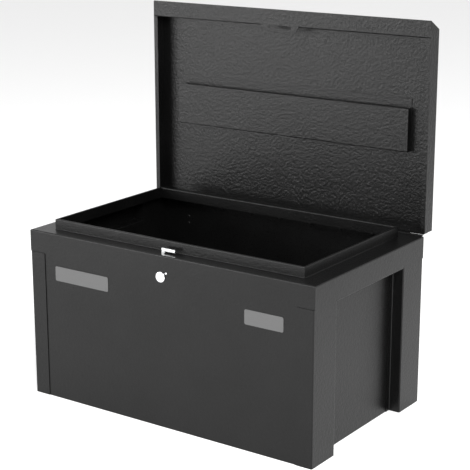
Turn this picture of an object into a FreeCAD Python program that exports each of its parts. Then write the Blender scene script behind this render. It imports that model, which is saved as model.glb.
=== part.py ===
import FreeCAD, Part
import math
import os
import re

import Sketcher

# Lidded sheet-steel tool chest, standing open: folded body, tray lid on a piano hinge, cam-driven hook latch.
# Frame: X to the right, Y to the back, Z up. The origin is the centre of the flat underside.
# The lid parts are drawn as they lie when shut, from the hinge axis, and are placed standing open.

doc = FreeCAD.newDocument("ToolChest")
sizes = doc.addObject("Spreadsheet::Sheet", "Sizes")

# Driving sizes in millimetres: alias, value, meaning.
SIZE_ROWS = [
    ("width", 700, "body width over the top collar"),
    ("depth", 418, "body depth over the top collar"),
    ("height", 360, "underside to the ledge that the lid shuts over"),
    ("sheet", 1.5, "body and lid sheet thickness"),
    ("bend", 1.0, "inside radius of the folds"),
    ("collar_drop", 46, "height of the collar skirt"),
    ("ledge_side", 43, "ledge width at the two sides"),
    ("ledge_front", 31, "ledge width at front and back"),
    ("rim_rise", 22, "height of the raised rim"),
    ("rim_thick", 5, "thickness of the folded rim"),
    ("post_face", 37.5, "front leg width of a corner post"),
    ("post_side", 78, "side leg width of a corner post"),
    ("post_flange", 12, "post's flange against the side panel"),
    ("return_bend", 2, "radius between a post's return and its flange"),
    ("recess", 26, "how far the side panels are set in"),
    ("seam", 0.5, "gap between a post's folds and the sheet behind it"),
    ("header_drop", 50, "ledge to the top of the side recess"),
    ("floor_lip", 20, "upturned edge of the floor"),
    ("floor_relief", 2, "floor corner notch past the upturned edges"),
    ("lid_inset", 1.5, "lid end to the collar's end"),
    ("lid_tall", 34, "lid tray depth"),
    ("lid_over", 17.5, "lid overhang past the collar's front"),
    ("lid_lean", 19, "set-back of the lid's sloped front"),
    ("lid_gap", 1.2, "shut lid's edge above the ledge"),
    ("lid_lip", 10, "return lip along the lid's ends"),
    ("band", 35, "width of the lid's front channel"),
    ("band_fold", 12, "stiffening fold of the front channel"),
    ("tab_reach", 11, "latch tab past the channel"),
    ("tab_root", 95, "latch tab width at its root"),
    ("tab_tip", 80, "latch tab width at its tip"),
    ("tab_skew", 1.5, "tab's middle left of the slot's"),
    ("tab_round", 2, "latch tab corner radius"),
    ("slot_long", 56, "latch slot length"),
    ("slot_wide", 8, "latch slot width"),
    ("slot_in", 37.5, "lid's front edge to the slot's middle"),
    ("slot_off", -9.5, "slot's middle from the chest's middle"),
    ("slot_round", 1.5, "latch slot corner radius"),
    ("wallet_long", 586, "document pocket length"),
    ("wallet_tall", 90, "document pocket front height"),
    ("wallet_strip", 19, "document pocket mounting strip"),
    ("wallet_deep", 15.5, "document pocket depth"),
    ("wallet_low", 161.5, "lid's rear edge to the pocket's bottom"),
    ("wallet_sheet", 1.2, "document pocket sheet thickness"),
    ("axle_back", 3.7, "hinge axis behind the collar"),
    ("axle_drop", 1.1, "hinge axis under the ledge's top"),
    ("pin_dia", 3.2, "hinge pin diameter"),
    ("pin_play", 0.05, "radial running clearance on a pin"),
    ("knuckle_dia", 6.4, "hinge knuckle diameter"),
    ("knuckle_count", 23, "knuckles on both leaves together"),
    ("knuckle_gap", 0.4, "gap between knuckles"),
    ("leaf_wide", 21, "hinge leaf, axis to edge"),
    ("leaf_thick", 1.2, "hinge leaf thickness"),
    ("hinge_inset", 3, "hinge end to the lid's end"),
    ("rivet_dia", 4, "rivet shank diameter"),
    ("rivet_head", 7.5, "rivet head diameter"),
    ("rivet_crown", 1.6, "rivet head height"),
    ("rivet_count", 9, "rivets along each hinge leaf"),
    ("stop_at", 250, "lid stop from the chest's middle"),
    ("stop_wide", 30, "lid stop width"),
    ("stop_sheet", 2.5, "lid stop thickness"),
    ("stop_leg", 40, "lid stop mounting leg"),
    ("stop_reach", 34, "lid stop reach behind the chest"),
    ("stop_step", 8, "stop arm under the hinge leaf"),
    ("stop_flange", 8.5, "stop's top flange"),
    ("pad_thick", 4, "rubber pad thickness"),
    ("pad_gap", 0.2, "open lid above the pads"),
    ("pad_inset", 1, "pad end to the stop's end"),
    ("pad_edge", 0.5, "pad's front to the stop flange's front"),
    ("pad_round", 1, "pad's top edge radius"),
    ("lock_off", -5.4, "lock from the chest's middle"),
    ("lock_drop", 43.7, "lock under the ledge's top"),
    ("bezel_dia", 22, "lock bezel diameter"),
    ("bezel_proud", 3.5, "lock bezel height"),
    ("bezel_round", 1.6, "lock bezel rim radius"),
    ("bore_round", 0.8, "bezel bore rim radius"),
    ("barrel_dia", 19, "lock barrel diameter"),
    ("barrel_in", 14, "lock barrel behind the front face"),
    ("plug_dia", 13, "turning plug diameter"),
    ("plug_sunk", 0.8, "plug face below the bezel's face"),
    ("plug_round", 0.5, "plug rim radius"),
    ("key_long", 7.5, "keyway length"),
    ("key_wide", 1.6, "keyway width"),
    ("key_deep", 9, "keyway depth"),
    ("nut_flats", 25, "lock nut across flats"),
    ("nut_thick", 3.5, "lock nut thickness"),
    ("tail_dia", 7, "plug tail diameter"),
    ("cam_thick", 2, "cam plate thickness"),
    ("cam_hub", 16, "cam hub diameter"),
    ("cam_space", 1, "cam plate to the slide"),
    ("tail_peen", 0.6, "plug tail's peened head height"),
    ("peen_edge", 1, "peened head past the tail all round"),
    ("cam_arm", 13, "cam pin's distance from the lock axis"),
    ("cam_wide", 8, "cam arm width"),
    ("cam_swing", 45, "cam angle each side of upright"),
    ("cam_pin", 4, "cam pin diameter"),
    ("cam_play", 0.6, "cam pin's side play in the slide"),
    ("cam_end", 0.5, "cam pin's end play in the slide"),
    ("slide_foot", 2, "metal under the slide's cam slot"),
    ("hook_back", 19, "hook plate's middle behind the front face"),
    ("hook_thick", 3, "hook plate thickness"),
    ("hook_long", 33, "hook bar length"),
    ("hook_leg", 7, "hook leg width"),
    ("hook_rise", 9.6, "hook bar's top above the ledge"),
    ("hook_bar", 5.8, "hook bar height"),
    ("hook_lead", 1.6, "hook leg's middle past the cam pin at rest"),
    ("hook_round", 1.5, "hook bar corner radius"),
    ("hook_fillet", 1, "hook bar to leg radius"),
    ("hook_slack", 0.8, "hook leg's end clearance in the ledge"),
    ("hook_side", 0.5, "hook leg's side clearance in the ledge"),
    ("slide_tall", 17, "slide plate height"),
    ("slide_edge", 3.5, "least metal round the slide's slots"),
    ("slide_gap", 0.3, "slide plate under the ledge"),
    ("carrier_gap", 0.3, "slide plate to its carrier"),
    ("carrier_tall", 22, "carrier plate height"),
    ("carrier_foot", 9, "carrier foot under the ledge"),
    ("carrier_end", 10, "carrier past its rivets"),
    ("guide_at", 16, "guide rivets each side of their middle"),
    ("guide_off", -1, "guide rivets' middle from the chest's middle"),
    ("guide_play", 0.3, "guide rivet's play in its slot"),
    ("badge_thick", 1.0, "name plate thickness"),
    ("badge_round", 3.5, "name plate corner radius"),
    ("badge_a_off", -211.5, "left plate from the chest's middle"),
    ("badge_a_up", 276, "left plate's middle above the underside"),
    ("badge_a_long", 141, "left plate length"),
    ("badge_a_tall", 31, "left plate height"),
    ("badge_b_off", 238, "right plate from the chest's middle"),
    ("badge_b_up", 273, "right plate's middle above the underside"),
    ("badge_b_long", 88, "right plate length"),
    ("badge_b_tall", 30, "right plate height"),
    ("stud_side", 12.8, "stud beside the lock axis"),
    ("stud_up", 8.6, "stud above the lock axis"),
    ("stud_dia", 4.5, "stud head diameter"),
    ("stud_rise", 1.5, "stud head height"),
]
for row, (alias, value, meaning) in enumerate(SIZE_ROWS, 1):
    sizes.set(f"A{row}", meaning)
    sizes.set(f"B{row}", str(value))
    sizes.setAlias(f"B{row}", alias)
doc.recompute()

ALIAS = re.compile(r"\b(" + "|".join(alias for alias, _, _ in SIZE_ROWS) + r")\b")
made = []

# Places worked out from the driving sizes, as spreadsheet expressions.
HALF_X = "(width / 2)"
HALF_Y = "(depth / 2)"
POST_X = "(width / 2 - sheet)"
POST_Y = "(depth / 2 - sheet)"
SKIRT_Z = "(height - collar_drop)"
RIM_Z = "(height + rim_rise)"
SHELF_Z = "(height - header_drop)"
POST_OUT = f"({HALF_Y} + sheet)"
FACE_X = f"({POST_X} - sheet - bend - seam)"
WALL_X = f"({POST_X} - recess)"
AXLE_Y = f"({HALF_Y} + axle_back)"
AXLE_Z = "(height - axle_drop)"
LID_X = "(width / 2 - lid_inset)"
LID_LOW = "(lid_gap + axle_drop)"
LID_TOP = f"({LID_LOW} + lid_tall)"
LID_REAR = "(-axle_back)"
LID_NOSE = "(-(axle_back + depth + lid_over))"
LEAN = "(sheet * sqrt(lid_lean ^ 2 + lid_tall ^ 2) / lid_tall)"
HINGE_LONG = f"(2 * ({LID_X} - hinge_inset))"
PITCH = f"({HINGE_LONG} / knuckle_count)"
KNUCKLE_CUT = "(knuckle_dia / 2 + knuckle_gap)"
LOCK_Z = "(height - lock_drop)"
CAM_SIDE = "(cam_arm * sin(cam_swing))"
CAM_UP = "(cam_arm * cos(cam_swing))"
HOOK_Y = f"(-{HALF_Y} + hook_back)"
PIN_X = f"(lock_off - {CAM_SIDE})"
LEG_X = f"({PIN_X} + hook_lead)"
TRAVEL = f"(2 * {CAM_SIDE})"
SLIDE_TOP = "(height - sheet - slide_gap)"
GUIDE_Z = f"({SLIDE_TOP} - slide_tall / 2)"
CAM_Y = f"({HOOK_Y} - hook_thick / 2 - cam_space - cam_thick)"
CARRIER_Y = f"({HOOK_Y} + hook_thick / 2 + carrier_gap)"
STOP_Z = f"({AXLE_Z} - leaf_wide - stop_step)"
PAD_Z = f"({AXLE_Z} + axle_back - pad_gap - pad_thick)"
STOP_RIVETS = (0.38, 0.78)
RIVET_UP = "(leaf_wide * 0.6)"
RIVET_ROW = f"({HINGE_LONG} * (1 - 1 / rivet_count))"
FIRST_RIVET = f"(-{RIVET_ROW} / 2)"
OUTSIDE_BEND = "(bend + sheet)"
UNDER_FOLD = "(height - sheet - bend)"
DRILL_REACH = "5"


def bound(expression):
    """The expression with every alias read from the sheet."""
    return ALIAS.sub(r"Sizes.\1", expression)


def number(expression):
    """The expression's value now."""
    return float(sizes.evalExpression(expression))


def add_body(name, on_lid=False):
    """A PartDesign body; lid bodies are drawn shut from the hinge axis and placed standing open."""
    body = doc.addObject("PartDesign::Body", name)
    body.Label = name
    body.AllowCompound = True
    if on_lid:
        body.setExpression("Placement.Base.y", bound(AXLE_Y))
        body.setExpression("Placement.Base.z", bound(AXLE_Z))
        body.Placement.Rotation = FreeCAD.Rotation(FreeCAD.Vector(1, 0, 0), -90)
    made.append(body)
    return body


def add_sketch(body, role, offset):
    """A sketch on one of the body's own origin planes, moved along the plane's normal."""
    sketch = body.newObject("Sketcher::SketchObject", f"{body.Name}_sketch")
    plane = next(item for item in body.Origin.OriginFeatures if item.Role == role)
    sketch.AttachmentSupport = [(plane, "")]
    sketch.MapMode = "FlatFace"
    sketch.setExpression("AttachmentOffset.Base.z", bound(offset))
    return sketch


def hold_point(sketch, index, corner, x, y):
    """Ties one point of the sketch to its two expressions."""
    for kind, expression in (("DistanceX", x), ("DistanceY", y)):
        place = sketch.addConstraint(Sketcher.Constraint(kind, -1, 1, index, corner, number(expression)))
        sketch.setExpression(f"Constraints[{place}]", bound(expression))


def outline(body, role, offset, points):
    """A closed straight-sided sketch through the points, each held by expressions."""
    sketch = add_sketch(body, role, offset)
    corners = [FreeCAD.Vector(number(x), number(y), 0) for x, y in points]
    count = len(points)
    for index in range(count):
        sketch.addGeometry(Part.LineSegment(corners[index], corners[(index + 1) % count]))
    for index in range(count):
        sketch.addConstraint(Sketcher.Constraint("Coincident", index, 2, (index + 1) % count, 1))
    for index, (x, y) in enumerate(points):
        hold_point(sketch, index, 1, x, y)
    return sketch


def box_outline(body, role, offset, low, high):
    """A rectangular sketch between two corners."""
    (x1, y1), (x2, y2) = low, high
    return outline(body, role, offset, [(x1, y1), (x2, y1), (x2, y2), (x1, y2)])


def ring(body, role, offset, x, y, diameters):
    """A sketch of concentric circles."""
    sketch = add_sketch(body, role, offset)
    centre = FreeCAD.Vector(number(x), number(y), 0)
    for index, diameter in enumerate(diameters):
        sketch.addGeometry(Part.Circle(centre, FreeCAD.Vector(0, 0, 1), number(diameter) / 2))
        hold_point(sketch, index, 3, x, y)
        place = sketch.addConstraint(Sketcher.Constraint("Diameter", index, number(diameter)))
        sketch.setExpression(f"Constraints[{place}]", bound(diameter))
    return sketch


def pad(body, sketch, length):
    """Adds the sketch, grown along its plane's normal."""
    feature = body.newObject("PartDesign::Pad", f"{body.Name}_pad")
    feature.Profile = sketch
    feature.setExpression("Length", bound(length))
    sketch.Visibility = False
    doc.recompute()
    return feature


def cut(body, sketch, length):
    """Removes the sketch, sunk against its plane's normal, and makes sure that it removed something."""
    before = body.Shape.Volume
    feature = body.newObject("PartDesign::Pocket", f"{body.Name}_cut")
    feature.Profile = sketch
    feature.setExpression("Length", bound(length))
    doc.recompute()
    if body.Shape.Volume > before - 1e-6:
        raise RuntimeError(f"{body.Label}: {feature.Name} removed nothing")
    return feature


def repeat(body, features, axis_role, length, count):
    """Repeats the features along one of the body's own axes."""
    pattern = body.newObject("PartDesign::LinearPattern", f"{body.Name}_row")
    axis = next(item for item in body.Origin.OriginFeatures if item.Role == axis_role)
    pattern.Originals = features
    pattern.Direction = (axis, [""])
    pattern.setExpression("Length", bound(length))
    pattern.setExpression("Occurrences", bound(count))
    body.Tip = pattern
    doc.recompute()


def soften_edges(body, choose, radius):
    """Fillets the edges that the test chooses."""
    base = body.Tip
    names = [f"Edge{index}" for index, edge in enumerate(base.Shape.Edges, 1) if choose(edge)]
    if not names:
        raise RuntimeError(f"{body.Label}: no edge to soften")
    feature = body.newObject("PartDesign::Fillet", f"{body.Name}_round")
    feature.Base = (base, names)
    feature.setExpression("Radius", bound(radius))
    doc.recompute()


def soften(body, axis, spots, radius):
    """Fillets the straight edges that run along the axis through the given spots."""
    skip = "xyz".index(axis)
    wanted = [(number(a), number(b)) for a, b in spots]

    def choose(edge):
        ends = [[value for place, value in enumerate(vertex.Point) if place != skip] for vertex in edge.Vertexes]
        return len(ends) == 2 and any(all(math.dist(end, spot) < 0.01 for end in ends) for spot in wanted)

    soften_edges(body, choose, radius)


def soften_rim(body, diameter, y, radius):
    """Fillets the circular edges of one diameter that lie in the plane across Y."""
    def choose(edge):
        round_edge = isinstance(edge.Curve, Part.Circle)
        return round_edge and abs(edge.Curve.Radius - diameter / 2) < 0.01 and abs(edge.Curve.Center.y - y) < 0.01

    soften_edges(body, choose, radius)


def side_of(sign, expression):
    """The expression on the positive or the negative side."""
    return expression if sign > 0 else f"(-{expression})"


def rail_profile(half, ledge, sign):
    """Skirt, ledge and folded rim in section: across is the first coordinate, Z the second."""
    rim_out = f"({half} - {ledge})"
    rim_in = f"({half} - {ledge} - rim_thick)"
    across_up = [
        (half, SKIRT_Z),
        (half, "height"),
        (rim_out, "height"),
        (rim_out, RIM_Z),
        (rim_in, RIM_Z),
        (rim_in, "(height - sheet)"),
        (f"({rim_in} + sheet)", "(height - sheet)"),
        (f"({rim_in} + sheet)", f"({RIM_Z} - sheet)"),
        (f"({rim_out} - sheet)", f"({RIM_Z} - sheet)"),
        (f"({rim_out} - sheet)", "(height - sheet)"),
        (f"({half} - sheet)", "(height - sheet)"),
        (f"({half} - sheet)", SKIRT_Z),
    ]
    return [(side_of(sign, across), up) for across, up in across_up]


def soften_rail(body, axis, half, ledge, sign):
    """Rounds the folds of a rail."""
    rim_out = f"({half} - {ledge})"
    outer = [(half, "height"), (f"({rim_out} - sheet)", "(height - sheet)")]
    inner = [(f"({half} - sheet)", "(height - sheet)"), (rim_out, "height")]
    crown = [(rim_out, RIM_Z), (f"({rim_out} - rim_thick)", RIM_Z)]
    for spots, radius in ((outer, OUTSIDE_BEND), (inner, "bend"), (crown, "(rim_thick * 0.45)")):
        soften(body, axis, [(side_of(sign, across), up) for across, up in spots], radius)


def mitre(body, end_x, end_y, keep):
    """Cuts a rail's end along the line where it meets its neighbour round the corner."""
    corner = (f"({HALF_X} + ledge_side / 4)", f"({HALF_Y} + ledge_front / 4)")
    knee = (f"({HALF_X} - ledge_side)", f"({HALF_Y} - ledge_front)")
    tail = (f"({knee[0]} - rim_thick * 2)", f"({knee[1]} - rim_thick * 2)")
    if keep == "front":
        beyond = [(f"({HALF_X} + ledge_side)", tail[1]), (f"({HALF_X} + ledge_side)", corner[1])]
    else:
        beyond = [(tail[0], f"({HALF_Y} + ledge_side)"), (corner[0], f"({HALF_Y} + ledge_side)")]
    points = [(side_of(end_x, x), side_of(end_y, y)) for x, y in [corner, knee, tail, *beyond]]
    cut(body, outline(body, "XY_Plane", f"({RIM_Z} + 1)", points), "(collar_drop + rim_rise + 2)")


def make_face_sheet(name, side):
    """Front or back: one sheet with its panel, skirt, ledge and rim, mitred at the corners."""
    body = add_body(name)
    section = outline(body, "YZ_Plane", f"(-{HALF_X})", rail_profile(HALF_Y, "ledge_front", side))
    pad(body, section, "width")
    soften_rail(body, "x", HALF_Y, "ledge_front", side)
    for end in (-1, 1):
        mitre(body, end, side, "front")
    panel_start = f"(-{HALF_Y})" if side > 0 else f"({HALF_Y} - sheet)"
    plate = box_outline(body, "XZ_Plane", panel_start, (f"(-{FACE_X})", "0"), (FACE_X, SKIRT_Z))
    pad(body, plate, "sheet")
    return body


def make_front_sheet():
    """The front sheet also takes the lock, its stud and the hook's slot."""
    body = make_face_sheet("front_sheet", -1)
    face = f"({HALF_Y} + 1)"
    cut(body, ring(body, "XZ_Plane", face, "lock_off", LOCK_Z, ["barrel_dia"]), "(sheet + 2)")
    stud = ("(lock_off + stud_side)", f"({LOCK_Z} + stud_up)")
    cut(body, ring(body, "XZ_Plane", face, *stud, ["(stud_dia / 2)"]), "(sheet + 2)")
    low = (f"({LEG_X} - hook_leg / 2 - hook_slack)", f"({HOOK_Y} - hook_thick / 2 - hook_side)")
    high = (f"({LEG_X} + hook_leg / 2 + {TRAVEL} + hook_slack)", f"({HOOK_Y} + hook_thick / 2 + hook_side)")
    cut(body, box_outline(body, "XY_Plane", "(height + 1)", low, high), "(sheet + 2)")


def make_side_rail(name, side):
    """Skirt, ledge and rim along one side, mitred to the front and back sheets."""
    body = add_body(name)
    section = outline(body, "XZ_Plane", f"(-{HALF_Y})", rail_profile(HALF_X, "ledge_side", side))
    pad(body, section, "depth")
    soften_rail(body, "y", HALF_X, "ledge_side", side)
    for end in (-1, 1):
        mitre(body, side, end, "side")


def make_post(name, side_x, side_y):
    """Folded corner post: front leg over the face sheet, side leg up into the collar, return and flange."""
    body = add_body(name)
    leg_x = f"({POST_X} - post_face)"
    back_y = f"({POST_Y} - post_side)"
    flange_y = f"({back_y} - post_flange)"
    section = [
        (WALL_X, flange_y),
        (f"({WALL_X} + sheet)", flange_y),
        (f"({WALL_X} + sheet)", back_y),
        (POST_X, back_y),
        (POST_X, POST_OUT),
        (leg_x, POST_OUT),
        (leg_x, HALF_Y),
        (f"({POST_X} - sheet)", HALF_Y),
        (f"({POST_X} - sheet)", f"({back_y} + sheet)"),
        (WALL_X, f"({back_y} + sheet)"),
    ]
    points = [(side_of(side_x, x), side_of(side_y, y)) for x, y in section]
    pad(body, outline(body, "XY_Plane", "0", points), UNDER_FOLD)
    low = (side_of(side_x, f"({leg_x} - 1)"), side_of(side_y, f"({HALF_Y} - sheet)"))
    high = (side_of(side_x, f"({POST_X} + 1)"), side_of(side_y, f"({POST_OUT} + 1)"))
    above = f"({UNDER_FOLD} - {SKIRT_Z} + seam + 1)"
    cut(body, box_outline(body, "XY_Plane", f"({UNDER_FOLD} + 1)", low, high), above)
    low = (side_of(side_x, f"({WALL_X} - 1)"), side_of(side_y, f"({flange_y} - 1)"))
    high = (side_of(side_x, f"({POST_X} + 1)"), side_of(side_y, back_y))
    below = f"({UNDER_FOLD} - {SHELF_Z} + bend + 1)"
    cut(body, box_outline(body, "XY_Plane", f"({UNDER_FOLD} + 1)", low, high), below)
    soften(body, "z", [points[3], points[4]], OUTSIDE_BEND)
    soften(body, "z", [points[7], points[8]], "bend")
    soften(body, "z", [points[2]], "return_bend")
    soften(body, "z", [points[9]], "(sheet * 0.6)")


def make_side_panel(name, side):
    """Set-in side panel that steps out to the collar above the recess."""
    body = add_body(name)
    inner = f"({WALL_X} - sheet)"
    reach = f"({POST_Y} - post_side)"
    section = [
        (inner, "0"),
        (WALL_X, "0"),
        (WALL_X, SHELF_Z),
        (POST_X, SHELF_Z),
        (POST_X, UNDER_FOLD),
        (f"({POST_X} - sheet)", UNDER_FOLD),
        (f"({POST_X} - sheet)", f"({SHELF_Z} + sheet)"),
        (inner, f"({SHELF_Z} + sheet)"),
    ]
    points = [(side_of(side, x), z) for x, z in section]
    pad(body, outline(body, "XZ_Plane", f"(-{reach})", points), f"(2 * {reach})")
    soften(body, "y", [points[3], points[7]], OUTSIDE_BEND)
    soften(body, "y", [points[2], points[6]], "bend")
    for end in (-1, 1):
        low = (side_of(side, inner), side_of(end, reach))
        high = (side_of(side, WALL_X), side_of(end, f"({HALF_Y} - sheet)"))
        pad(body, box_outline(body, "XY_Plane", "0", low, high), UNDER_FOLD)


def make_floor():
    """Flat floor with notched corners and an upturned edge."""
    body = add_body("floor_panel")
    wide = f"({WALL_X} - sheet)"
    deep = f"({HALF_Y} - sheet)"
    near = f"({wide} - sheet - floor_relief)"
    back = f"({deep} - sheet - floor_relief)"
    quarter = [(wide, back), (near, back), (near, deep)]
    points = []
    for sign_x, sign_y in ((1, 1), (-1, 1), (-1, -1), (1, -1)):
        corner = [(side_of(sign_x, x), side_of(sign_y, y)) for x, y in quarter]
        points += corner if sign_x * sign_y > 0 else corner[::-1]
    pad(body, outline(body, "XY_Plane", "0", points), "sheet")
    for sign in (-1, 1):
        low = (f"(-{near})", side_of(sign, f"({deep} - sheet)"))
        pad(body, box_outline(body, "XY_Plane", "sheet", low, (near, side_of(sign, deep))), "(floor_lip - sheet)")
        low = (side_of(sign, f"({wide} - sheet)"), f"(-{back})")
        pad(body, box_outline(body, "XY_Plane", "sheet", low, (side_of(sign, wide), back)), "(floor_lip - sheet)")


def make_lid_tray():
    """Lid skin: sloped front, top and skirts, with a return lip along both ends."""
    body = add_body("lid_tray", on_lid=True)
    skin = [
        (LID_REAR, LID_LOW),
        (LID_REAR, LID_TOP),
        (f"({LID_NOSE} + lid_lean)", LID_TOP),
        (LID_NOSE, LID_LOW),
    ]
    pad(body, outline(body, "YZ_Plane", f"(-{LID_X})", skin), f"(2 * {LID_X})")
    low = number(LID_LOW)
    soften_edges(body, lambda edge: max(vertex.Point.z for vertex in edge.Vertexes) > low + 1, OUTSIDE_BEND)
    hollow = [
        ("(-axle_back - sheet)", f"({LID_LOW} - 1)"),
        ("(-axle_back - sheet)", f"({LID_TOP} - sheet)"),
        (f"({LID_NOSE} + lid_lean * (1 - sheet / lid_tall) + {LEAN})", f"({LID_TOP} - sheet)"),
        (f"({LID_NOSE} - lid_lean / lid_tall + {LEAN})", f"({LID_LOW} - 1)"),
    ]
    cut(body, outline(body, "YZ_Plane", f"({LID_X} - sheet)", hollow), f"(2 * ({LID_X} - sheet))")
    for end in (-1, 1):
        near = (side_of(end, f"({LID_X} - lid_lip)"), f"({LID_NOSE} + band)")
        far = (side_of(end, f"({LID_X} - sheet)"), "(-axle_back - sheet)")
        pad(body, box_outline(body, "XY_Plane", LID_LOW, near, far), "sheet")
    drill_row(body, RIVET_UP, LID_REAR)


def make_lid_channel():
    """Flat channel along the lid's front edge, with its fold and the slotted latch tab."""
    body = add_body("lid_channel", on_lid=True)
    front = f"({LID_NOSE} + {LEAN})"
    inner = f"({LID_NOSE} + band)"
    tip = f"({inner} + tab_reach)"
    tab_x = "(slot_off - tab_skew)"
    tab_side = f"({tab_x} + tab_root / 2)"
    above = f"({LID_LOW} + sheet)"
    fold_z = f"({LID_LOW} + band_fold)"
    section = [
        (front, LID_LOW),
        (f"({front} + lid_lean * sheet / lid_tall)", above),
        (f"({inner} - sheet)", above),
        (f"({inner} - sheet)", fold_z),
        (inner, fold_z),
        (inner, LID_LOW),
    ]
    pad(body, outline(body, "YZ_Plane", f"(-({LID_X} - sheet))", section), f"(2 * ({LID_X} - sheet))")
    soften(body, "x", [section[2]], "bend")
    soften(body, "x", [section[5]], OUTSIDE_BEND)
    notch = box_outline(
        body, "YZ_Plane", tab_side, (f"({inner} - 2 * {OUTSIDE_BEND})", above), (f"({inner} + 1)", f"({fold_z} + 1)")
    )
    cut(body, notch, "tab_root")
    root = f"({inner} - {OUTSIDE_BEND} - 1)"
    tab = [
        (f"({tab_x} - tab_root / 2)", root),
        (tab_side, root),
        (tab_side, inner),
        (f"({tab_x} + tab_tip / 2)", tip),
        (f"({tab_x} - tab_tip / 2)", tip),
        (f"({tab_x} - tab_root / 2)", inner),
    ]
    pad(body, outline(body, "XY_Plane", LID_LOW, tab), "sheet")
    soften(body, "z", tab[3:5], "tab_round")
    middle = f"({LID_NOSE} + slot_in)"
    low = ("(slot_off - slot_long / 2)", f"({middle} - slot_wide / 2)")
    high = ("(slot_off + slot_long / 2)", f"({middle} + slot_wide / 2)")
    cut(body, box_outline(body, "XY_Plane", f"({above} + 1)", low, high), "(sheet + 2)")
    soften(body, "z", [(x, y) for x in (low[0], high[0]) for y in (low[1], high[1])], "slot_round")


def make_wallet():
    """Document pocket: a strip against the lid's skin folded round into an open-ended front."""
    body = add_body("document_pocket", on_lid=True)
    skin = f"({LID_TOP} - sheet)"
    face = f"({skin} - wallet_deep)"
    low = "(-(axle_back + wallet_low))"
    high = f"({low} - wallet_tall)"
    strip = f"({high} - wallet_strip)"
    section = [
        (strip, skin),
        (low, skin),
        (low, face),
        (high, face),
        (high, f"({face} + wallet_sheet)"),
        (f"({low} - wallet_sheet)", f"({face} + wallet_sheet)"),
        (f"({low} - wallet_sheet)", f"({skin} - wallet_sheet)"),
        (strip, f"({skin} - wallet_sheet)"),
    ]
    pad(body, outline(body, "YZ_Plane", "(-wallet_long / 2)", section), "wallet_long")
    soften(body, "x", section[1:3], "(bend + wallet_sheet)")
    soften(body, "x", section[5:7], "bend")


def make_leaf(name, on_lid):
    """Hinge leaf with its share of the knuckles, bored for the pin and drilled for rivets."""
    body = add_body(name, on_lid=on_lid)
    axle = ("0", "0") if on_lid else (AXLE_Y, AXLE_Z)
    up = 1 if on_lid else -1
    face = f"({axle[0]} - axle_back)"
    back = f"({face} + leaf_thick)"
    neck = f"({axle[1]} + {side_of(up, KNUCKLE_CUT)})"
    edge = f"({axle[1]} + {side_of(up, 'leaf_wide')})"
    start = f"(-{HINGE_LONG} / 2)"
    pad(body, box_outline(body, "YZ_Plane", start, (face, neck), (back, edge)), HINGE_LONG)
    first = 1 if on_lid else 0
    start = f"({start} + {first} * {PITCH} + knuckle_gap / 2)"
    knuckle_long = f"({PITCH} - knuckle_gap)"
    barrel = pad(body, ring(body, "YZ_Plane", start, *axle, ["knuckle_dia"]), knuckle_long)
    strap = pad(body, box_outline(body, "YZ_Plane", start, (face, axle[1]), (back, neck)), knuckle_long)
    row_long = f"({HINGE_LONG} - {PITCH} * {2 * first + 1})"
    repeat(body, [barrel, strap], "X_Axis", row_long, f"((knuckle_count + 1) / 2 - {first})")
    bore = "(pin_dia + 2 * pin_play)" if on_lid else "pin_dia"
    cut(body, ring(body, "YZ_Plane", f"({HINGE_LONG} / 2 + 1)", *axle, [bore]), f"({HINGE_LONG} + 2)")
    drill_row(body, f"({axle[1]} + {side_of(up, RIVET_UP)})", face)


def make_pin():
    """Hinge pin, full length."""
    body = add_body("hinge_pin")
    start = f"(-{HINGE_LONG} / 2)"
    pad(body, ring(body, "YZ_Plane", start, AXLE_Y, AXLE_Z, ["pin_dia"]), HINGE_LONG)


def drill(body, x, z, y, diameter):
    """A hole along Y through the sheet whose face is at y."""
    return cut(body, ring(body, "XZ_Plane", f"(-({y} - {DRILL_REACH}))", x, z, [diameter]), f"(2 * {DRILL_REACH})")


def drill_row(body, up, face):
    """The row of rivet holes along a hinge leaf or the sheet behind it."""
    hole = drill(body, FIRST_RIVET, up, face, "rivet_dia")
    repeat(body, [hole], "X_Axis", RIVET_ROW, "rivet_count")


def add_rivet(body, x, z, inside, outside, heads=("rivet_crown", "rivet_crown")):
    """A rivet along Y that clamps what lies between two faces; returns its three features."""
    shank = pad(body, ring(body, "XZ_Plane", f"(-{outside})", x, z, ["rivet_dia"]), f"({outside} - {inside})")
    rear = f"({outside} + {heads[1]})"
    tail = pad(body, ring(body, "XZ_Plane", f"(-{rear})", x, z, ["rivet_head"]), heads[1])
    front = pad(body, ring(body, "XZ_Plane", f"(-{inside})", x, z, ["rivet_head"]), heads[0])
    for y in (number(rear), number(f"({inside} - {heads[0]})")):
        soften_rim(body, number("rivet_head"), y, "(rivet_crown * 0.8)")
    return [shank, tail, front]


def make_hinge_rivets(name, on_lid):
    """The rivets of one hinge leaf, through the leaf and the sheet that it is fixed to."""
    body = add_body(name, on_lid=on_lid)
    middle = RIVET_UP if on_lid else f"({AXLE_Z} - {RIVET_UP})"
    face = LID_REAR if on_lid else HALF_Y
    count = int(number("rivet_count"))
    for index in range(count):
        x = f"({FIRST_RIVET} + {RIVET_ROW} * {index} / ({count} - 1))"
        add_rivet(body, x, middle, f"({face} - sheet)", f"({face} + leaf_thick)")


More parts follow.
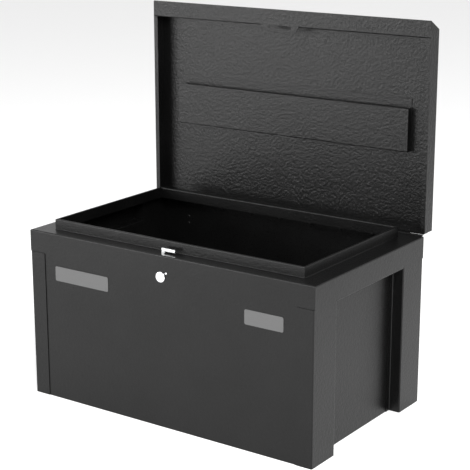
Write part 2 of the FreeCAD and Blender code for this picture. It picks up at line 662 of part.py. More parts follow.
def make_stop(name, side):
    """Bracket on the back sheet that carries the open lid under its rear skirt."""
    body = add_body(name)
    end_y = f"({HALF_Y} + stop_reach)"
    flange_y = f"({end_y} - stop_flange)"
    section = [
        (HALF_Y, f"({STOP_Z} - stop_leg)"),
        (HALF_Y, STOP_Z),
        (f"({end_y} - stop_sheet)", STOP_Z),
        (f"({end_y} - stop_sheet)", f"({PAD_Z} - stop_sheet)"),
        (flange_y, f"({PAD_Z} - stop_sheet)"),
        (flange_y, PAD_Z),
        (end_y, PAD_Z),
        (end_y, f"({STOP_Z} - stop_sheet)"),
        (f"({HALF_Y} + stop_sheet)", f"({STOP_Z} - stop_sheet)"),
        (f"({HALF_Y} + stop_sheet)", f"({STOP_Z} - stop_leg)"),
    ]
    start = f"({side_of(side, 'stop_at')} - stop_wide / 2)"
    pad(body, outline(body, "YZ_Plane", start, section), "stop_wide")
    soften(body, "x", [section[6], section[7], section[1]], "(bend + stop_sheet)")
    soften(body, "x", [section[2], section[3], section[8]], "bend")
    for step in STOP_RIVETS:
        drill(body, side_of(side, "stop_at"), f"({STOP_Z} - stop_leg * {step})", HALF_Y, "rivet_dia")


def make_bumper(name, side):
    """Rubber pad on the stop, just under the open lid."""
    body = add_body(name)
    start = f"({side_of(side, 'stop_at')} - stop_wide / 2 + pad_inset)"
    low = (f"({HALF_Y} + stop_reach - stop_flange + pad_edge)", PAD_Z)
    high = (f"({HALF_Y} + stop_reach - bend - stop_sheet)", f"({PAD_Z} + pad_thick)")
    pad(body, box_outline(body, "YZ_Plane", start, low, high), "(stop_wide - 2 * pad_inset)")
    soften(body, "x", [(low[0], high[1]), high], "pad_round")


def make_stop_rivets():
    """Rivets that hold both stops to the back sheet."""
    body = add_body("stop_rivets")
    for side in (-1, 1):
        for step in STOP_RIVETS:
            z = f"({STOP_Z} - stop_leg * {step})"
            add_rivet(body, side_of(side, "stop_at"), z, f"({HALF_Y} - sheet)", f"({HALF_Y} + stop_sheet)")


def make_lock_body():
    """Bezel in front of the sheet and barrel through it, bored for the plug."""
    body = add_body("lock_body")
    bore = "(plug_dia + 2 * pin_play)"
    front = f"(-{HALF_Y} - bezel_proud)"
    pad(body, ring(body, "XZ_Plane", HALF_Y, "lock_off", LOCK_Z, ["bezel_dia", bore]), "bezel_proud")
    barrel = ring(body, "XZ_Plane", f"({HALF_Y} - barrel_in)", "lock_off", LOCK_Z, ["barrel_dia", bore])
    pad(body, barrel, "barrel_in")
    soften_rim(body, number("bezel_dia"), number(front), "bezel_round")
    soften_rim(body, number(bore), number(front), "bore_round")


def make_lock_nut():
    """Hexagon nut that clamps the lock behind the sheet."""
    body = add_body("lock_nut")
    start = f"({HALF_Y} - sheet - nut_thick)"
    corner = "(nut_flats / 2 / cos(30))"
    hexagon = []
    for step in range(6):
        turn = 60 * step + 30
        hexagon.append((f"(lock_off + {corner} * cos({turn}))", f"({LOCK_Z} + {corner} * sin({turn}))"))
    pad(body, outline(body, "XZ_Plane", start, hexagon), "nut_thick")
    drill(body, "lock_off", LOCK_Z, f"(-{start})", "barrel_dia")


def make_lock_plug():
    """Turning plug with its keyway, and the tail that the cam is fixed on."""
    body = add_body("lock_plug")
    front = f"({HALF_Y} + bezel_proud - plug_sunk)"
    start = f"({HALF_Y} - barrel_in)"
    pad(body, ring(body, "XZ_Plane", start, "lock_off", LOCK_Z, ["plug_dia"]), f"({front} - {start})")
    soften_rim(body, number("plug_dia"), -number(front), "plug_round")
    low = ("(lock_off - key_wide / 2)", f"({LOCK_Z} - key_long / 2)")
    high = ("(lock_off + key_wide / 2)", f"({LOCK_Z} + key_long / 2)")
    cut(body, box_outline(body, "XZ_Plane", front, low, high), "key_deep")
    behind = f"(-{CAM_Y} - cam_thick)"
    pad(body, ring(body, "XZ_Plane", behind, "lock_off", LOCK_Z, ["tail_dia"]), f"({start} - {behind})")
    peen = f"({behind} - tail_peen)"
    pad(body, ring(body, "XZ_Plane", peen, "lock_off", LOCK_Z, ["(tail_dia + 2 * peen_edge)"]), "tail_peen")


def make_cam():
    """Cam plate on the plug's tail, with the pin that drives the slide."""
    body = add_body("lock_cam")
    start = f"(-{CAM_Y} - cam_thick)"
    pin_z = f"({LOCK_Z} + {CAM_UP})"
    half = "(cam_wide / 2)"
    across = (f"({half} * cos(cam_swing))", f"({half} * sin(cam_swing))")
    arm = [
        (f"(lock_off + {across[0]})", f"({LOCK_Z} + {across[1]})"),
        (f"({PIN_X} + {across[0]})", f"({pin_z} + {across[1]})"),
        (f"({PIN_X} - {across[0]})", f"({pin_z} - {across[1]})"),
        (f"(lock_off - {across[0]})", f"({LOCK_Z} - {across[1]})"),
    ]
    pad(body, ring(body, "XZ_Plane", start, "lock_off", LOCK_Z, ["cam_hub"]), "cam_thick")
    pad(body, outline(body, "XZ_Plane", start, arm), "cam_thick")
    pad(body, ring(body, "XZ_Plane", start, PIN_X, pin_z, ["cam_wide"]), "cam_thick")
    pin_end = f"(-({HOOK_Y} + hook_thick / 2))"
    pad(body, ring(body, "XZ_Plane", pin_end, PIN_X, pin_z, ["cam_pin"]), f"({start} - {pin_end})")
    drill(body, "lock_off", LOCK_Z, CAM_Y, "tail_dia")


def make_slide():
    """Latch slide: guided plate, hook through the ledge, and a slotted leg down to the cam pin."""
    body = add_body("latch_slide")
    room = "(rivet_dia / 2 + guide_play)"
    left = f"(guide_off - guide_at - {TRAVEL} - {room} - slide_edge)"
    right = f"(guide_off + guide_at + {room} + slide_edge)"
    low = f"({SLIDE_TOP} - slide_tall)"
    hook_left = f"({LEG_X} - hook_leg / 2)"
    leg_right = f"({LEG_X} + hook_leg / 2)"
    hook_right = f"({hook_left} + hook_long)"
    bar_top = "(height + hook_rise)"
    bar_low = "(height + hook_rise - hook_bar)"
    leg = "(cam_pin / 2 + cam_play + slide_edge)"
    drop = f"({LOCK_Z} + {CAM_UP} - cam_pin / 2 - cam_end - slide_foot)"
    shape = [
        (left, low),
        (f"({PIN_X} - {leg})", low),
        (f"({PIN_X} - {leg})", drop),
        (f"({PIN_X} + {leg})", drop),
        (f"({PIN_X} + {leg})", low),
        (right, low),
        (right, SLIDE_TOP),
        (leg_right, SLIDE_TOP),
        (leg_right, bar_low),
        (hook_right, bar_low),
        (hook_right, bar_top),
        (hook_left, bar_top),
        (hook_left, SLIDE_TOP),
        (left, SLIDE_TOP),
    ]
    start = f"(-({HOOK_Y} + hook_thick / 2))"
    pad(body, outline(body, "XZ_Plane", start, shape), "hook_thick")
    soften(body, "y", shape[9:12], "hook_round")
    soften(body, "y", [shape[8]], "hook_fillet")
    front = f"(-({HOOK_Y} - hook_thick / 2 - 1))"
    depth_cut = "(hook_thick + 2)"
    for side in (-1, 1):
        rivet = f"(guide_off + {side_of(side, 'guide_at')})"
        slot_low = (f"({rivet} - {TRAVEL} - {room})", f"({GUIDE_Z} - {room})")
        slot_high = (f"({rivet} + {room})", f"({GUIDE_Z} + {room})")
        cut(body, box_outline(body, "XZ_Plane", front, slot_low, slot_high), depth_cut)
    slot_low = (f"({PIN_X} - cam_pin / 2 - cam_play)", f"({LOCK_Z} + {CAM_UP} - cam_pin / 2 - cam_end)")
    slot_high = (f"({PIN_X} + cam_pin / 2 + cam_play)", f"({LOCK_Z} + cam_arm + cam_pin / 2 + cam_end)")
    cut(body, box_outline(body, "XZ_Plane", front, slot_low, slot_high), depth_cut)


def make_carrier():
    """Angle under the ledge that carries the slide on two guide rivets."""
    body = add_body("latch_carrier")
    top = "(height - sheet)"
    section = [
        (CARRIER_Y, f"({top} - carrier_tall)"),
        (CARRIER_Y, top),
        (f"({CARRIER_Y} + carrier_foot)", top),
        (f"({CARRIER_Y} + carrier_foot)", f"({top} - sheet)"),
        (f"({CARRIER_Y} + sheet)", f"({top} - sheet)"),
        (f"({CARRIER_Y} + sheet)", f"({top} - carrier_tall)"),
    ]
    start = "(guide_off - guide_at - carrier_end)"
    pad(body, outline(body, "YZ_Plane", start, section), "(2 * (guide_at + carrier_end))")
    soften(body, "x", [section[1]], OUTSIDE_BEND)
    soften(body, "x", [section[4]], "bend")
    for side in (-1, 1):
        rivet = f"(guide_off + {side_of(side, 'guide_at')})"
        drill(body, rivet, GUIDE_Z, CARRIER_Y, "rivet_dia")


def make_guides():
    """Shouldered rivets that the slide runs on."""
    body = add_body("guide_rivets")
    inside = f"({HOOK_Y} - hook_thick / 2 - slide_gap)"
    for side in (-1, 1):
        x = f"(guide_off + {side_of(side, 'guide_at')})"
        add_rivet(body, x, GUIDE_Z, inside, f"({CARRIER_Y} + sheet)")


def make_badge(name, key):
    """Plain name plate with rounded corners on the front sheet."""
    body = add_body(name)
    low = (f"({key}_off - {key}_long / 2)", f"({key}_up - {key}_tall / 2)")
    high = (f"({key}_off + {key}_long / 2)", f"({key}_up + {key}_tall / 2)")
    pad(body, box_outline(body, "XZ_Plane", HALF_Y, low, high), "badge_thick")
    soften(body, "y", [(x, z) for x in (low[0], high[0]) for z in (low[1], high[1])], "badge_round")


def make_stud():
    """Small domed stud beside the lock."""
    body = add_body("lock_stud")
    spot = ("(lock_off + stud_side)", f"({LOCK_Z} + stud_up)")
    pad(body, ring(body, "XZ_Plane", f"({HALF_Y} - sheet)", *spot, ["(stud_dia / 2)"]), "sheet")
    pad(body, ring(body, "XZ_Plane", HALF_Y, *spot, ["stud_dia"]), "stud_rise")
    soften_rim(body, number("stud_dia"), -number(f"({HALF_Y} + stud_rise)"), "(stud_rise * 0.8)")


def make_chest():
    """The fixed body of the chest."""
    make_front_sheet()
    back = make_face_sheet("back_sheet", 1)
    drill_row(back, f"({AXLE_Z} - {RIVET_UP})", HALF_Y)
    for side in (-1, 1):
        for step in STOP_RIVETS:
            drill(back, side_of(side, "stop_at"), f"({STOP_Z} - stop_leg * {step})", HALF_Y, "rivet_dia")
    for side, word in ((-1, "left"), (1, "right")):
        make_side_rail(f"{word}_rail", side)
        make_side_panel(f"{word}_panel", side)
        make_post(f"{word}_front_post", side, -1)
        make_post(f"{word}_back_post", side, 1)
        make_stop(f"{word}_stop", side)
        make_bumper(f"{word}_bumper", side)
    make_floor()
    make_stop_rivets()
    make_badge("left_badge", "badge_a")
    make_badge("right_badge", "badge_b")


def make_lid():
    """The lid and its hinge."""
    make_lid_tray()
    make_lid_channel()
    make_wallet()
    make_leaf("hinge_body_leaf", on_lid=False)
    make_leaf("hinge_lid_leaf", on_lid=True)
    make_pin()
    make_hinge_rivets("hinge_body_rivets", on_lid=False)
    make_hinge_rivets("hinge_lid_rivets", on_lid=True)


def make_latch():
    """The lock and the hook latch that it drives."""
    make_lock_body()
    make_lock_nut()
    make_lock_plug()
    make_cam()
    make_slide()
    make_carrier()
    make_guides()
    make_stud()


def write_parts():
    """Refuses a failed object or an invalid shape, then writes each sub-part to its own file."""
    doc.recompute()
    failed = [item.Name for item in doc.Objects if {"Invalid", "Error"} & set(item.State)]
    if failed:
        raise RuntimeError(f"failed objects: {failed}")
    for body in made:
        if body.Shape.isNull() or not body.Shape.isValid() or not body.Shape.Solids:
            raise RuntimeError(f"bad shape: {body.Label}")
    os.makedirs("parts", exist_ok=True)
    for body in made:
        body.Shape.exportStep(f"parts/{body.Label}.step")
        box = body.Shape.BoundBox
        print(f"{body.Label}: {len(body.Shape.Solids)} solid(s), "
              f"{box.XLength:.1f} x {box.YLength:.1f} x {box.ZLength:.1f}")


make_chest()
make_lid()
make_latch()
write_parts()
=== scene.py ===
import math
import bpy
import bmesh
from mathutils import Matrix, Vector


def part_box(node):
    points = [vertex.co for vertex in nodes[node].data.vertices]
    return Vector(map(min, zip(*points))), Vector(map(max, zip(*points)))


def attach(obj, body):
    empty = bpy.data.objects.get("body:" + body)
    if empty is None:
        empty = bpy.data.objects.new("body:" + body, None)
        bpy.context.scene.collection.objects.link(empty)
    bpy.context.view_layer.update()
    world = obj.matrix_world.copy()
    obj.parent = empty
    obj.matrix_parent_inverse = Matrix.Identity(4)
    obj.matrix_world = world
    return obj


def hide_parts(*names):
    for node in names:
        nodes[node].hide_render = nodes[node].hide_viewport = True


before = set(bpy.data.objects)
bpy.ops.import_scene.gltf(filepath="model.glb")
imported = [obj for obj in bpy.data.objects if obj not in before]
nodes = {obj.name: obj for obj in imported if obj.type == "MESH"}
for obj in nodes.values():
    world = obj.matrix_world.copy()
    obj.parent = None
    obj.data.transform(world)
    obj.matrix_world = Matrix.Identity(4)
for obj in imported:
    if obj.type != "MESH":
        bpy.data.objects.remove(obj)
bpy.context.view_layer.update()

scene = bpy.context.scene
print("frame loaded:", len(nodes), "sheet-metal parts")


def toLinear(hexColour):
    channels = [int(hexColour[i:i + 2], 16) / 255 for i in (1, 3, 5)]
    return [c / 12.92 if c <= 0.04045 else ((c + 0.055) / 1.055) ** 2.4 for c in channels] + [1.0]


def addNode(tree, kind, place=(0, 0), settings=None, inputs=None):
    # one node with its settings; an input is a socket to link or a plain value
    node = tree.nodes.new(kind)
    node.location = place
    for key, value in (settings or {}).items():
        setattr(node, key, value)
    for key, value in (inputs or {}).items():
        if isinstance(value, bpy.types.NodeSocket):
            tree.links.new(value, node.inputs[key])
        else:
            node.inputs[key].default_value = value
    return node


def startMaterial(name):
    material = bpy.data.materials.new(name)
    material.use_nodes = True
    tree = material.node_tree
    return material, tree, tree.nodes["Principled BSDF"], addNode(tree, "ShaderNodeTexCoord", (-1200, 0)).outputs["Object"]


# the camera stands to the front right of the chest, a little above the open lid
camera = {
    "place": (1.6252, -2.2750, 1.1176),
    "aim": (0.0156, 0.0135, 0.3547),
    "lens": 107.45,
    "sensor": 36,
    "roll": -0.05,
    "reach": 60,
}


def makeCamera():
    data = bpy.data.cameras.new("studioCamera")
    data.lens = camera["lens"]
    data.sensor_width = camera["sensor"]
    data.clip_end = camera["reach"]
    eye = bpy.data.objects.new("studioCamera", data)
    scene.collection.objects.link(eye)
    eye.location = camera["place"]
    away = Vector(camera["aim"]) - Vector(camera["place"])
    turn = away.to_track_quat("-Z", "Y").to_matrix().to_4x4() @ Matrix.Rotation(math.radians(camera["roll"]), 4, "Z")
    eye.rotation_euler = turn.to_euler()
    scene.camera = eye


studio = {
    "floorHalf": 24.0,
    "floorDrop": 0.0005,
    "floorColour": "#f4f4f4",
    "floorRoughness": 0.9,
    "skyColour": "#ffffff",
    "skyStrength": 0.9,
}


def makeFloor():
    # a wide matt paper floor, just under the skirts
    mesh = bpy.data.meshes.new("studioFloor")
    half = studio["floorHalf"]
    mesh.from_pydata([(-half, -half, 0), (half, -half, 0), (half, half, 0), (-half, half, 0)], [], [(0, 1, 2, 3)])
    floor = bpy.data.objects.new("studioFloor", mesh)
    scene.collection.objects.link(floor)
    floor.location.z = -studio["floorDrop"]
    material, tree, shader, coords = startMaterial("mattPaperFloor")
    shader.inputs["Base Color"].default_value = toLinear(studio["floorColour"])
    shader.inputs["Roughness"].default_value = studio["floorRoughness"]
    shader.inputs["Specular IOR Level"].default_value = 0.1
    mesh.materials.append(material)


def makeSky():
    world = bpy.data.worlds.new("studioSky")
    world.use_nodes = True
    background = world.node_tree.nodes["Background"]
    background.inputs["Color"].default_value = toLinear(studio["skyColour"])
    background.inputs["Strength"].default_value = studio["skyStrength"]
    scene.world = world
    scene.view_settings.view_transform = "Standard"


# softboxes: place, what each points at, width and height in metres, watts
lamps = {
    "frontRightBox": ((2.4, -2.4, 2.6), (0, 0, 0.45), (1.6, 1.6), 270),
    "frontLeftLowBox": ((-2.6, -3.4, 0.9), (0, 0, 0.45), (2.4, 1.4), 100),
    "floorBox": ((-1.6, -2.6, 1.6), (-1.2, -2.2, 0), (1.5, 1.5), 25),
}


def makeLamps():
    for name, (place, aim, size, power) in lamps.items():
        data = bpy.data.lights.new(name, "AREA")
        data.shape = "RECTANGLE"
        data.size, data.size_y = size
        data.energy = power
        lamp = bpy.data.objects.new(name, data)
        scene.collection.objects.link(lamp)
        lamp.location = place
        lamp.rotation_euler = (Vector(aim) - Vector(place)).to_track_quat("-Z", "Y").to_euler()


makeCamera()
makeFloor()
makeSky()
makeLamps()
print("camera, floor and", len(lamps), "softboxes in place")


# sizes in millimetres; the real grain is about 0.5 mm and is drawn coarser so that it shows
powderCoat = {
    "dark": "#050505",
    "light": "#090909",
    "cloud": 90,
    "grain": 1.6,
    "peel": 6,
    "roughness": (0.26, 0.36),
    "grainDepth": 0.12,
    "peelDepth": 0.5,
    "gloss": 0.22,
}


def makePowderCoat(name, roughness, depthShare):
    # polyester powder coat, sprayed dry and baked on steel: it flows into a soft orange peel that
    # breaks up every reflection, over a fine even grain
    material, tree, shader, coords = startMaterial(name)
    shader.inputs["Specular IOR Level"].default_value = powderCoat["gloss"]
    cloud = addNode(tree, "ShaderNodeTexNoise", (-900, 300), inputs={
        "Vector": coords, "Scale": 1000 / powderCoat["cloud"], "Detail": 3.0})
    shade = addNode(tree, "ShaderNodeMapRange", (-650, 300), inputs={
        "Value": cloud.outputs["Fac"], "From Min": 0.3, "From Max": 0.7})
    colour = addNode(tree, "ShaderNodeMix", (-400, 300), {"data_type": "RGBA"}, {
        0: shade.outputs["Result"], 6: toLinear(powderCoat["dark"]), 7: toLinear(powderCoat["light"])})
    tree.links.new(colour.outputs[2], shader.inputs["Base Color"])
    grain = addNode(tree, "ShaderNodeTexNoise", (-900, 0), inputs={
        "Vector": coords, "Scale": 1000 / powderCoat["grain"], "Detail": 2.0})
    rough = addNode(tree, "ShaderNodeMapRange", (-650, 0), inputs={
        "Value": grain.outputs["Fac"], "From Min": 0.3, "From Max": 0.7, "To Min": roughness[0], "To Max": roughness[1]})
    tree.links.new(rough.outputs["Result"], shader.inputs["Roughness"])
    peel = addNode(tree, "ShaderNodeTexNoise", (-900, -300), inputs={
        "Vector": coords, "Scale": 1000 / powderCoat["peel"], "Detail": 3.0, "Roughness": 0.6})
    slow = addNode(tree, "ShaderNodeBump", (-650, -300), inputs={
        "Height": peel.outputs["Fac"], "Distance": powderCoat["peelDepth"] * depthShare / 1000})
    fine = addNode(tree, "ShaderNodeBump", (-400, -200), inputs={
        "Height": grain.outputs["Fac"], "Distance": powderCoat["grainDepth"] * depthShare / 1000,
        "Normal": slow.outputs["Normal"]})
    tree.links.new(fine.outputs["Normal"], shader.inputs["Normal"])
    return material


# sizes in millimetres
zincPlate = {
    "dull": "#c9cbcc",
    "bright": "#e2e3e3",
    "spangle": 4,
    "lines": 0.6,
    "lineStretch": 7,
    "roughness": (0.22, 0.36),
    "lineDepth": 0.02,
}


def makeZincPlate(name):
    # zinc plated on drawn steel: a cool metal with cloudy patches, and drawn lines along X
    material, tree, shader, coords = startMaterial(name)
    shader.inputs["Metallic"].default_value = 1.0
    spangle = addNode(tree, "ShaderNodeTexNoise", (-900, 300), inputs={
        "Vector": coords, "Scale": 1000 / zincPlate["spangle"], "Detail": 3.0})
    shade = addNode(tree, "ShaderNodeMapRange", (-650, 300), inputs={
        "Value": spangle.outputs["Fac"], "From Min": 0.3, "From Max": 0.7})
    colour = addNode(tree, "ShaderNodeMix", (-400, 300), {"data_type": "RGBA"}, {
        0: shade.outputs["Result"], 6: toLinear(zincPlate["dull"]), 7: toLinear(zincPlate["bright"])})
    tree.links.new(colour.outputs[2], shader.inputs["Base Color"])
    along = addNode(tree, "ShaderNodeMapping", (-1050, 0), inputs={
        "Vector": coords, "Scale": (1 / zincPlate["lineStretch"], 1, 1)})
    lines = addNode(tree, "ShaderNodeTexNoise", (-850, 0), inputs={
        "Vector": along.outputs["Vector"], "Scale": 1000 / zincPlate["lines"], "Detail": 2.0})
    rough = addNode(tree, "ShaderNodeMapRange", (-600, 0), inputs={
        "Value": lines.outputs["Fac"], "From Min": 0.3, "From Max": 0.7,
        "To Min": zincPlate["roughness"][0], "To Max": zincPlate["roughness"][1]})
    tree.links.new(rough.outputs["Result"], shader.inputs["Roughness"])
    tooth = addNode(tree, "ShaderNodeBump", (-400, -200), inputs={
        "Height": lines.outputs["Fac"], "Distance": zincPlate["lineDepth"] / 1000, "Strength": 0.6})
    tree.links.new(tooth.outputs["Normal"], shader.inputs["Normal"])
    return material


# sizes in millimetres
chrome = {"colour": "#e6e6e8", "haze": 2, "roughness": (0.10, 0.22), "hazeDepth": 0.01}


def makeChrome(name):
    # nickel-chrome plated and buffed: nearly a mirror, with a faint haze of handling marks
    material, tree, shader, coords = startMaterial(name)
    shader.inputs["Metallic"].default_value = 1.0
    shader.inputs["Base Color"].default_value = toLinear(chrome["colour"])
    haze = addNode(tree, "ShaderNodeTexNoise", (-900, 0), inputs={
        "Vector": coords, "Scale": 1000 / chrome["haze"], "Detail": 3.0})
    rough = addNode(tree, "ShaderNodeMapRange", (-650, 0), inputs={
        "Value": haze.outputs["Fac"], "From Min": 0.3, "From Max": 0.7,
        "To Min": chrome["roughness"][0], "To Max": chrome["roughness"][1]})
    tree.links.new(rough.outputs["Result"], shader.inputs["Roughness"])
    marks = addNode(tree, "ShaderNodeBump", (-400, -200), inputs={
        "Height": haze.outputs["Fac"], "Distance": chrome["hazeDepth"] / 1000, "Strength": 0.5})
    tree.links.new(marks.outputs["Normal"], shader.inputs["Normal"])
    return material


# sizes in millimetres
rubber = {"dark": "#141414", "bloom": "#1f1f1e", "bloomWide": 6, "tooth": 0.5, "roughness": (0.7, 0.9), "toothDepth": 0.03}


def makeRubber(name):
    # nitrile rubber, moulded: matt, with a grey bloom in soft patches and a fine tooth
    material, tree, shader, coords = startMaterial(name)
    bloom = addNode(tree, "ShaderNodeTexNoise", (-900, 300), inputs={
        "Vector": coords, "Scale": 1000 / rubber["bloomWide"], "Detail": 3.0})
    colour = addNode(tree, "ShaderNodeMix", (-400, 300), {"data_type": "RGBA"}, {
        0: bloom.outputs["Fac"], 6: toLinear(rubber["dark"]), 7: toLinear(rubber["bloom"])})
    tree.links.new(colour.outputs[2], shader.inputs["Base Color"])
    tooth = addNode(tree, "ShaderNodeTexNoise", (-900, 0), inputs={
        "Vector": coords, "Scale": 1000 / rubber["tooth"], "Detail": 2.0})
    rough = addNode(tree, "ShaderNodeMapRange", (-650, 0), inputs={
        "Value": tooth.outputs["Fac"], "From Min": 0.3, "From Max": 0.7,
        "To Min": rubber["roughness"][0], "To Max": rubber["roughness"][1]})
    tree.links.new(rough.outputs["Result"], shader.inputs["Roughness"])
    pits = addNode(tree, "ShaderNodeBump", (-400, -200), inputs={
        "Height": tooth.outputs["Fac"], "Distance": rubber["toothDepth"] / 1000, "Strength": 0.8})
    tree.links.new(pits.outputs["Normal"], shader.inputs["Normal"])
    return material


# sizes in millimetres
badgePlate = {
    "dark": "#3c3c3c",
    "light": "#454545",
    "lines": 0.5,
    "lineStretch": 25,
    "roughness": (0.32, 0.46),
    "lineDepth": 0.01,
}


def makeBadgePlate(name):
    # grey lacquered steel plate, brushed before the lacquer: satin, with short lines along its length
    material, tree, shader, coords = startMaterial(name)
    along = addNode(tree, "ShaderNodeMapping", (-1050, 100), inputs={
        "Vector": coords, "Scale": (1 / badgePlate["lineStretch"], 1, 1)})
    brushed = addNode(tree, "ShaderNodeTexNoise", (-850, 100), inputs={
        "Vector": along.outputs["Vector"], "Scale": 1000 / badgePlate["lines"], "Detail": 3.0})
    colour = addNode(tree, "ShaderNodeMix", (-400, 300), {"data_type": "RGBA"}, {
        0: brushed.outputs["Fac"], 6: toLinear(badgePlate["dark"]), 7: toLinear(badgePlate["light"])})
    tree.links.new(colour.outputs[2], shader.inputs["Base Color"])
    rough = addNode(tree, "ShaderNodeMapRange", (-600, 0), inputs={
        "Value": brushed.outputs["Fac"], "From Min": 0.3, "From Max": 0.7,
        "To Min": badgePlate["roughness"][0], "To Max": badgePlate["roughness"][1]})
    tree.links.new(rough.outputs["Result"], shader.inputs["Roughness"])
    scratches = addNode(tree, "ShaderNodeBump", (-400, -200), inputs={
        "Height": brushed.outputs["Fac"], "Distance": badgePlate["lineDepth"] / 1000, "Strength": 0.6})
    tree.links.new(scratches.outputs["Normal"], shader.inputs["Normal"])
    return material


finishes = {
    "black_powder_coat": makePowderCoat("blackPowderCoat", powderCoat["roughness"], 1.0),
    "lid_powder_coat": makePowderCoat("lidPowderCoat", powderCoat["roughness"], 2.2),
    "hinge_paint": makePowderCoat("hingePaint", (0.36, 0.48), 0.6),
    "zinc_steel": makeZincPlate("brightZincPlate"),
    "lock_chrome": makeChrome("buffedChrome"),
    "badge_plate": makeBadgePlate("brushedGreyPlate"),
    "bumper_rubber": makeRubber("mouldedBlackRubber"),
}
for part in nodes.values():
    for holder in part.material_slots:
        holder.material = finishes[holder.material.name]
print("finishes made:", ", ".join(sorted(finishes)))


# sizes in metres, but for the dimple's share of the head's width and of its height
rivet = {
    "headWide": 0.0075,
    "crown": 0.0016,
    "shankWide": 0.004,
    "dimpleWide": 0.34,
    "dimpleDeep": 0.3,
    "segments": 16,
    "rings": 14,
}
# piece, body, slot, and for each CAD part the rivets along X, the rows up it, and the way they point
rivetSets = (
    ("paintedChestRivets", "chest", "hinge_paint", (("hinge_body_rivets", 9, 1, "Y"), ("stop_rivets", 2, 2, "Y"))),
    ("paintedLidRivets", "lid", "hinge_paint", (("hinge_lid_rivets", 9, 1, "Z"),)),
    ("platedGuideRivets", "chest", "zinc_steel", (("guide_rivets", 2, 1, "Y"),)),
)


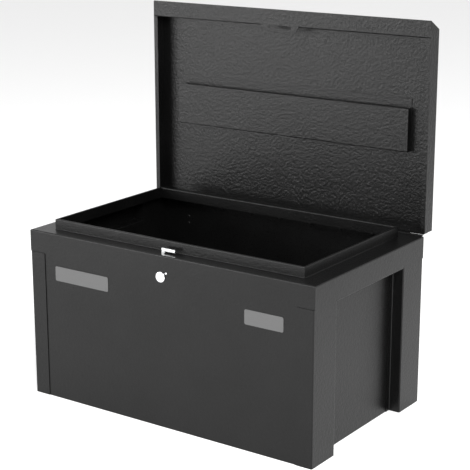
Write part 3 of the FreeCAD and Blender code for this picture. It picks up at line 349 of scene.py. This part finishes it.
def makeRivetTree():
    # a row of blind rivets: a dome on each end of a shank, with the dimple that the mandrel leaves
    tree = bpy.data.node_groups.new("rivetRow", "GeometryNodeTree")
    wanted = {"Count": "Int", "Start": "Vector", "Step": "Vector", "Turn": "Vector", "Grip": "Float",
              "Head Width": "Float", "Crown": "Float", "Shank Width": "Float", "Dimple Width": "Float",
              "Dimple Depth": "Float", "Finish": "Material"}
    for label, kind in wanted.items():
        tree.interface.new_socket(label, in_out="INPUT", socket_type="NodeSocket" + kind)
    tree.interface.new_socket("Geometry", in_out="OUTPUT", socket_type="NodeSocketGeometry")
    given = addNode(tree, "NodeGroupInput", (-1600, 0)).outputs

    # the dome: a ball with its lower half pressed flat and its top dimpled
    ball = addNode(tree, "GeometryNodeMeshUVSphere", (-1000, 200), inputs={
        "Segments": rivet["segments"], "Rings": rivet["rings"], "Radius": 1.0})
    spot = addNode(tree, "GeometryNodeInputPosition", (-1600, -300))
    parts = addNode(tree, "ShaderNodeSeparateXYZ", (-1400, -250), inputs={0: spot.outputs[0]})
    flat = addNode(tree, "ShaderNodeVectorMath", (-1400, -450), {"operation": "MULTIPLY"}, {0: spot.outputs[0], 1: (1, 1, 0)})
    outward = addNode(tree, "ShaderNodeVectorMath", (-1200, -450), {"operation": "LENGTH"}, {0: flat.outputs[0]})
    bowl = addNode(tree, "ShaderNodeMapRange", (-1000, -450), {"interpolation_type": "SMOOTHSTEP"}, {
        "Value": outward.outputs["Value"], "From Min": 0.0, "From Max": given["Dimple Width"],
        "To Min": 1.0, "To Max": 0.0})
    dip = addNode(tree, "ShaderNodeMath", (-800, -450), {"operation": "MULTIPLY"}, {
        0: bowl.outputs["Result"], 1: given["Dimple Depth"]})
    kept = addNode(tree, "ShaderNodeMath", (-600, -450), {"operation": "SUBTRACT"}, {0: 1.0, 1: dip.outputs[0]})
    rise = addNode(tree, "ShaderNodeMath", (-1000, -250), {"operation": "MAXIMUM"}, {0: parts.outputs["Z"], 1: 0.0})
    height = addNode(tree, "ShaderNodeMath", (-400, -300), {"operation": "MULTIPLY"}, {0: rise.outputs[0], 1: kept.outputs[0]})
    shaped = addNode(tree, "ShaderNodeCombineXYZ", (-200, -250), inputs={
        0: parts.outputs["X"], 1: parts.outputs["Y"], 2: height.outputs[0]})
    dome = addNode(tree, "GeometryNodeSetPosition", (0, 100), inputs={
        "Geometry": ball.outputs["Mesh"], "Position": shaped.outputs[0]})
    radius = addNode(tree, "ShaderNodeMath", (-200, -50), {"operation": "MULTIPLY"}, {0: given["Head Width"], 1: 0.5})
    headSize = addNode(tree, "ShaderNodeCombineXYZ", (0, -100), inputs={
        0: radius.outputs[0], 1: radius.outputs[0], 2: given["Crown"]})

    # one head up, one turned over, and the shank between them
    halfGrip = addNode(tree, "ShaderNodeMath", (0, -300), {"operation": "MULTIPLY"}, {0: given["Grip"], 1: 0.5})
    halfDrop = addNode(tree, "ShaderNodeMath", (200, -450), {"operation": "MULTIPLY"}, {0: halfGrip.outputs[0], 1: -1.0})
    upShift = addNode(tree, "ShaderNodeCombineXYZ", (400, -300), inputs={2: halfGrip.outputs[0]})
    downShift = addNode(tree, "ShaderNodeCombineXYZ", (400, -450), inputs={2: halfDrop.outputs[0]})
    upper = addNode(tree, "GeometryNodeTransform", (600, 200), inputs={
        "Geometry": dome.outputs[0], "Translation": upShift.outputs[0], "Scale": headSize.outputs[0]})
    lower = addNode(tree, "GeometryNodeTransform", (600, -100), inputs={
        "Geometry": dome.outputs[0], "Translation": downShift.outputs[0], "Rotation": (math.pi, 0, 0),
        "Scale": headSize.outputs[0]})
    thin = addNode(tree, "ShaderNodeMath", (400, 500), {"operation": "MULTIPLY"}, {0: given["Shank Width"], 1: 0.5})
    shank = addNode(tree, "GeometryNodeMeshCylinder", (600, 500), inputs={
        "Vertices": rivet["segments"], "Radius": thin.outputs[0], "Depth": given["Grip"]})
    whole = addNode(tree, "GeometryNodeJoinGeometry", (850, 200))
    for piece in (upper, lower, shank):
        tree.links.new(piece.outputs[0], whole.inputs[0])

    # the row, made real and given its finish
    row = addNode(tree, "GeometryNodeMeshLine", (850, 500), {"mode": "OFFSET"}, {
        "Count": given["Count"], "Start Location": given["Start"], "Offset": given["Step"]})
    facing = addNode(tree, "FunctionNodeEulerToRotation", (850, -100), inputs={0: given["Turn"]})
    placed = addNode(tree, "GeometryNodeInstanceOnPoints", (1050, 200), inputs={
        "Points": row.outputs["Mesh"], "Instance": whole.outputs[0], "Rotation": facing.outputs[0]})
    solid = addNode(tree, "GeometryNodeRealizeInstances", (1250, 200), inputs={"Geometry": placed.outputs[0]})
    done = addNode(tree, "GeometryNodeSetMaterial", (1450, 200), inputs={
        "Geometry": solid.outputs[0], "Material": given["Finish"]})
    addNode(tree, "NodeGroupOutput", (1650, 200), inputs={"Geometry": done.outputs[0]})
    return tree


def bakeRow(tree, values):
    # runs the tree once on an empty mesh and returns the plain mesh that it makes
    holder = bpy.data.objects.new("rowHolder", bpy.data.meshes.new("rowHolder"))
    scene.collection.objects.link(holder)
    modifier = holder.modifiers.new("row", "NODES")
    modifier.node_group = tree
    for socket in tree.interface.items_tree:
        if socket.in_out == "INPUT":
            modifier[socket.identifier] = values[socket.name]
    graph = bpy.context.evaluated_depsgraph_get()
    mesh = bpy.data.meshes.new_from_object(holder.evaluated_get(graph), depsgraph=graph)
    holder.modifiers.remove(modifier)
    bpy.data.objects.remove(holder)
    return mesh


def makeRivets():
    tree = makeRivetTree()
    half = rivet["headWide"] / 2
    for pieceName, body, slot, members in rivetSets:
        gathered = bmesh.new()
        for part, count, rows, pointing in members:
            low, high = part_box(part)
            deepAxis = "YZ".index(pointing) + 1
            acrossAxis = 3 - deepAxis
            for level in range(rows):
                start = [low.x + half, 0, 0]
                start[deepAxis] = (low[deepAxis] + high[deepAxis]) / 2
                spare = high[acrossAxis] - low[acrossAxis] - rivet["headWide"]
                start[acrossAxis] = low[acrossAxis] + half + spare * level / max(rows - 1, 1)
                rowMesh = bakeRow(tree, {
                    "Count": count,
                    "Start": start,
                    "Step": ((high.x - low.x - rivet["headWide"]) / (count - 1), 0, 0),
                    "Turn": (math.pi / 2 if pointing == "Y" else 0, 0, 0),
                    "Grip": high[deepAxis] - low[deepAxis] - 2 * rivet["crown"],
                    "Head Width": rivet["headWide"],
                    "Crown": rivet["crown"],
                    "Shank Width": rivet["shankWide"],
                    "Dimple Width": rivet["dimpleWide"],
                    "Dimple Depth": rivet["dimpleDeep"],
                    "Finish": finishes[slot]})
                gathered.from_mesh(rowMesh)
                bpy.data.meshes.remove(rowMesh)
        bmesh.ops.remove_doubles(gathered, verts=gathered.verts, dist=1e-6)
        bmesh.ops.recalc_face_normals(gathered, faces=gathered.faces)
        joined = bpy.data.meshes.new(pieceName)
        gathered.to_mesh(joined)
        gathered.free()
        joined.materials.append(finishes[slot])
        joined.polygons.foreach_set("material_index", [0] * len(joined.polygons))
        joined.polygons.foreach_set("use_smooth", [True] * len(joined.polygons))
        piece = bpy.data.objects.new(pieceName, joined)
        scene.collection.objects.link(piece)
        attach(piece, body)
        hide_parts(*[member[0] for member in members])
        print(pieceName, "made with", len(joined.polygons), "faces")


makeRivets()
